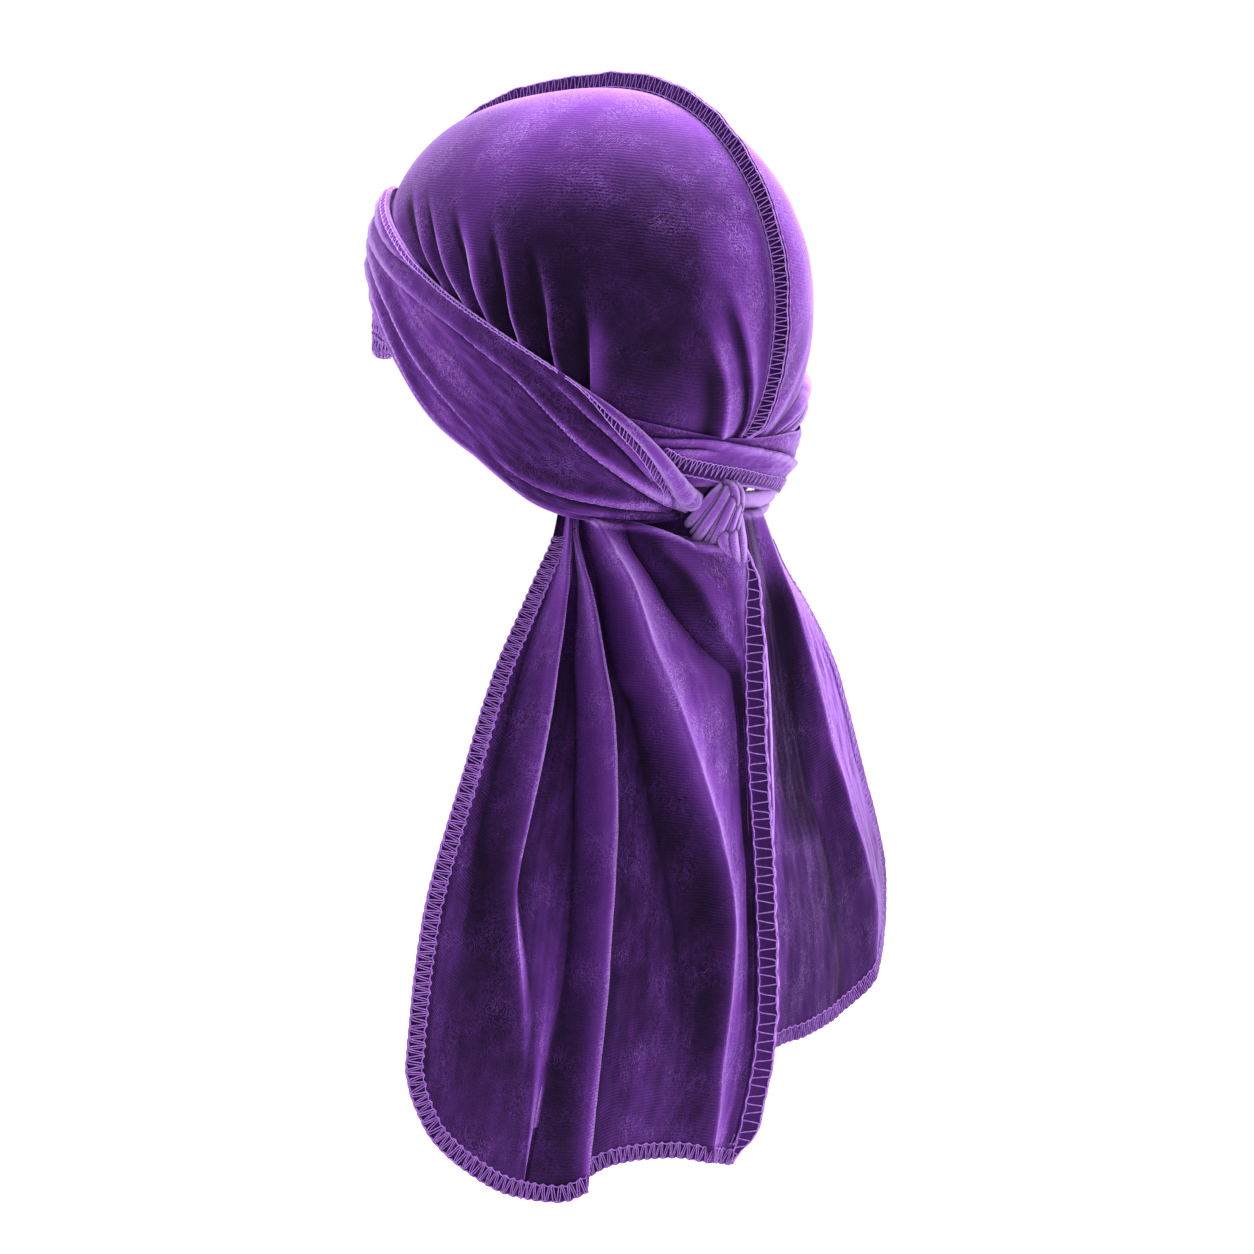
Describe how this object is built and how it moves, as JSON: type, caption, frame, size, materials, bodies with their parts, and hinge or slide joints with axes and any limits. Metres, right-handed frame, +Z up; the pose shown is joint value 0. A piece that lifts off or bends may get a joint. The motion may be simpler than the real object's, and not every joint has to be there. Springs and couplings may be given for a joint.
{
  "type": "durag",
  "caption": "Tied velvet durag in its worn form: two-panel crown with an outside centre seam, wrapped straps, a knot at the nape and a long flared tail.",
  "frame": {"origin": "the top of the wearer's head, where the inside of the crown rests on it", "axes": "+Z up, +X towards the wearer's left, -Y the way the wearer faces, so the tail hangs behind on the +Y side"},
  "size_m": [0.2584, 0.2075, 0.4535],
  "materials": {
    "velvet": "short-pile violet velvet with a soft sheen",
    "velvet_seam": "violet velvet seam flange and hem with overlock stitching"
  },
  "bodies": {
    "root": {"crown_left": "velvet", "crown_right": "velvet", "crown_seam": "velvet_seam", "front_hem": "velvet_seam", "strap_left": "velvet", "strap_right_twist": "velvet", "strap_right_end": "velvet", "knot": "velvet", "tail_left": "velvet", "tail_right": "velvet", "tail_seam": "velvet_seam"}
  },
  "joints": []
}
